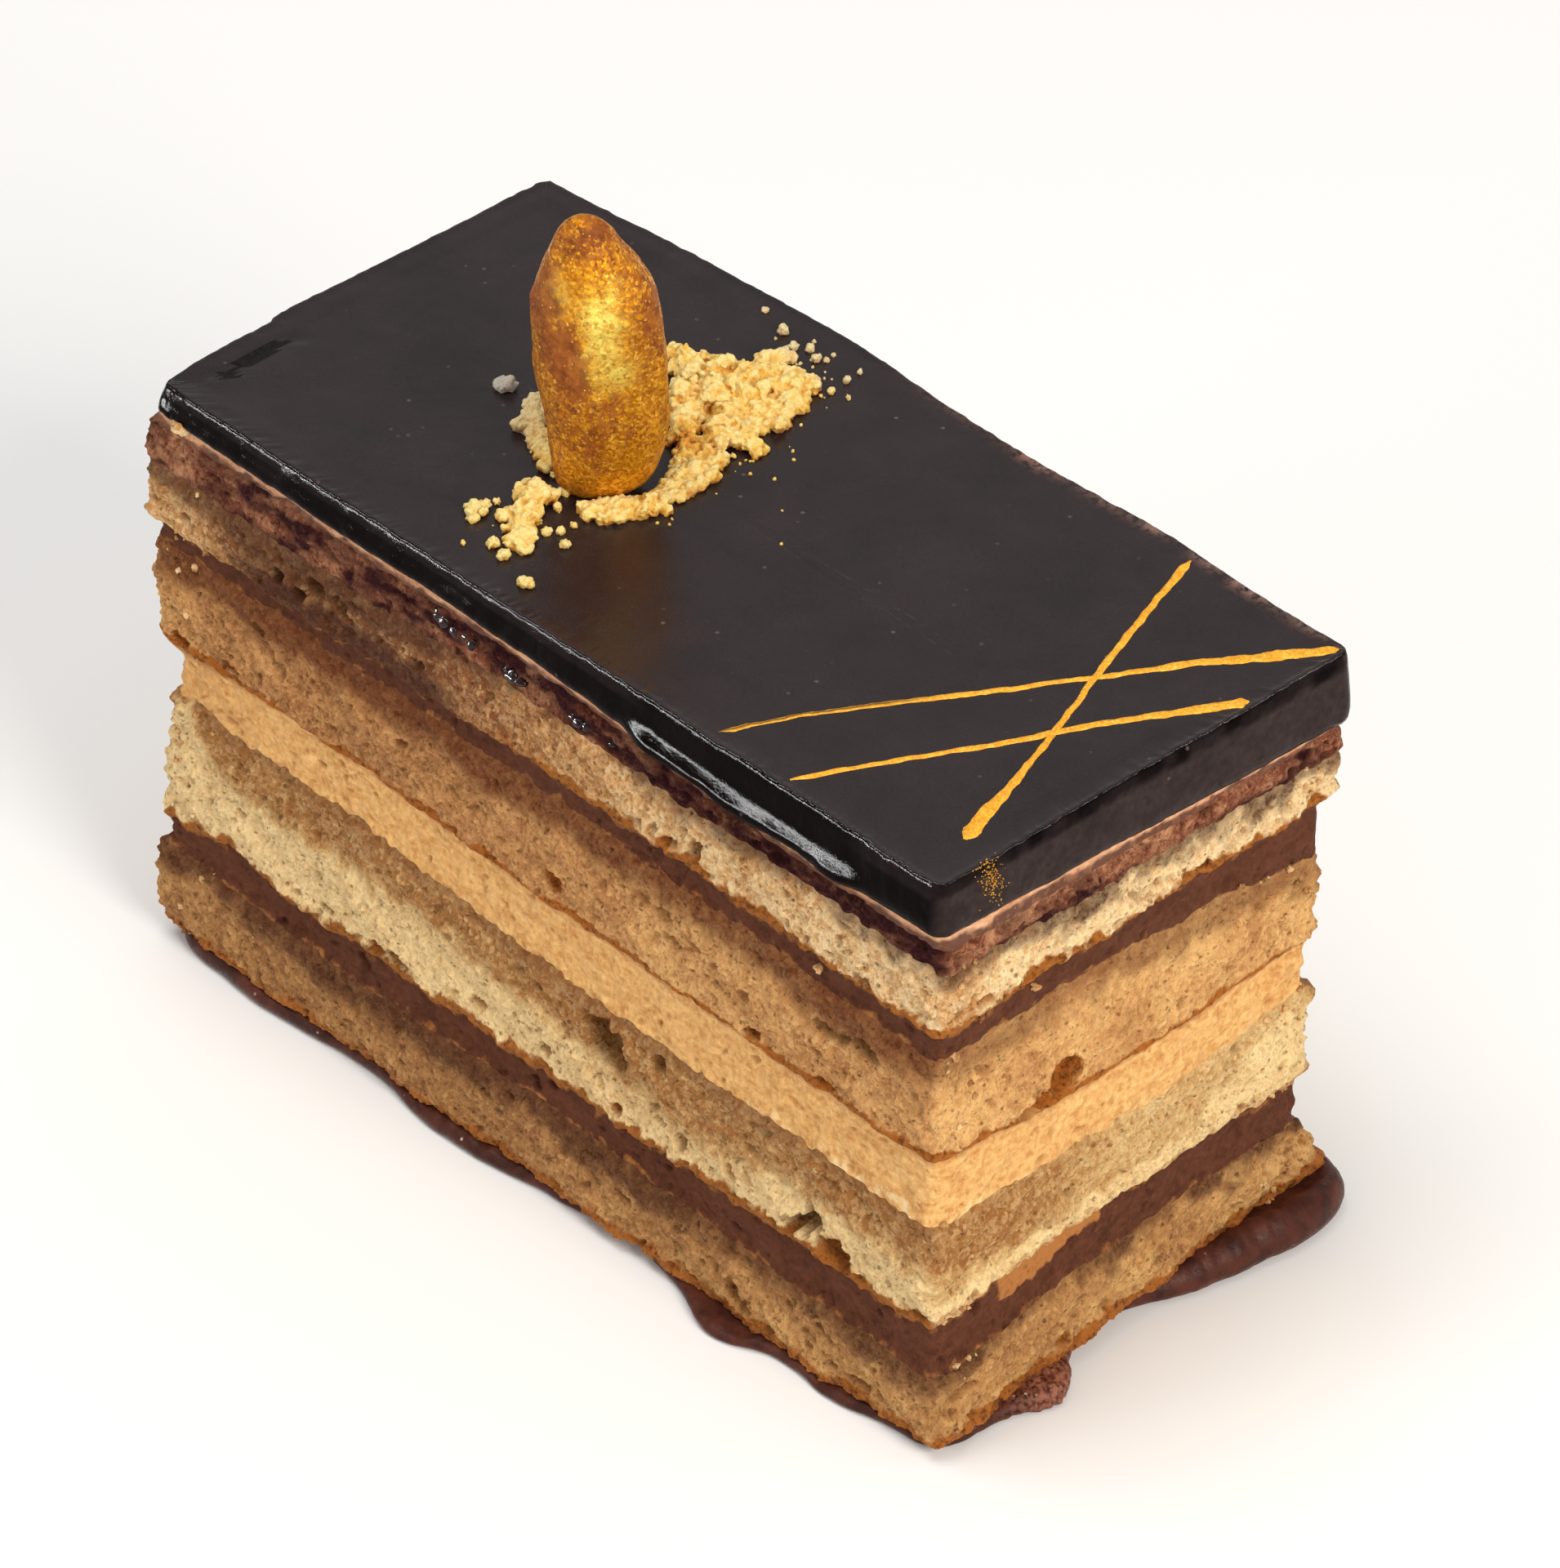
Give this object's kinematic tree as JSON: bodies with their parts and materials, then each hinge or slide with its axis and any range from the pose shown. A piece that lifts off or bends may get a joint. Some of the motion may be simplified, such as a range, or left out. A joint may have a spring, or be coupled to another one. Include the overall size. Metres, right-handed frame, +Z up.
{
  "type": "opera cake slice",
  "caption": "Upright slice of layered coffee and chocolate sponge cake with a dark glaze, gold lines, crumble and a gilded almond on top.",
  "frame": {"origin": "middle of the slice's bounding box in plan, at the level of the plate it stands on", "axes": "+Z up, +X along the slice's long side, -Y out of the long cut face and +X out of the short cut face"},
  "size_m": [0.0934, 0.049, 0.0791],
  "materials": {
    "base_chocolate": "satin set chocolate",
    "almond_sponge": "open baked crumb, matte",
    "ganache": "smooth, dull satin",
    "coffee_buttercream": "smooth cut buttercream, soft satin",
    "cocoa_band": "moist, uneven, half matte",
    "mocha_cream": "smooth, soft satin",
    "dark_glaze": "near-black glaze, satin on top and glossy where it runs down",
    "gold_dust": "glittering edible gold dust, brown skin showing through in patches",
    "crumble": "dry crumbly, matte"
  },
  "bodies": {
    "root": {"base_chocolate": "base_chocolate", "sponge_bottom": "almond_sponge", "ganache_lower": "ganache", "sponge_lower_mid": "almond_sponge", "coffee_buttercream": "coffee_buttercream", "sponge_upper_mid": "almond_sponge", "ganache_upper": "ganache", "sponge_top": "almond_sponge", "cocoa_band": "cocoa_band", "mocha_cream": "mocha_cream", "glaze": "dark_glaze", "almond": "gold_dust", "crumble_heap": "crumble", "crumble_front": "crumble", "crumble_left": "crumble"}
  },
  "joints": []
}
